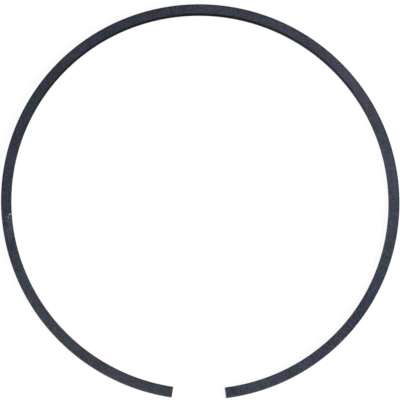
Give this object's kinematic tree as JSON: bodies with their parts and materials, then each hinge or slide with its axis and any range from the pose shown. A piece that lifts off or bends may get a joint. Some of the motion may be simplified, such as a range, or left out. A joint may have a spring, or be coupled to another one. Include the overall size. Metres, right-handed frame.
{
  "type": "piston seal ring",
  "caption": "Thin black iron seal ring of rectangular section, sprung open at one plain butt joint, for a groove in a piston.",
  "frame": {"origin": "centre of the ring, in the plane of its lower side face, so the ring lies on Z = 0", "axes": "+Z along the ring's axis, up from the lower side face; the gap between the ends faces -Y"},
  "size_m": [0.1042, 0.1038, 0.0025],
  "materials": {
    "black_iron": "fine-ground iron under a thin black phosphate coat, satin, with a blue-grey cast"
  },
  "bodies": {
    "root": {"seal_ring": "black_iron"}
  },
  "joints": []
}
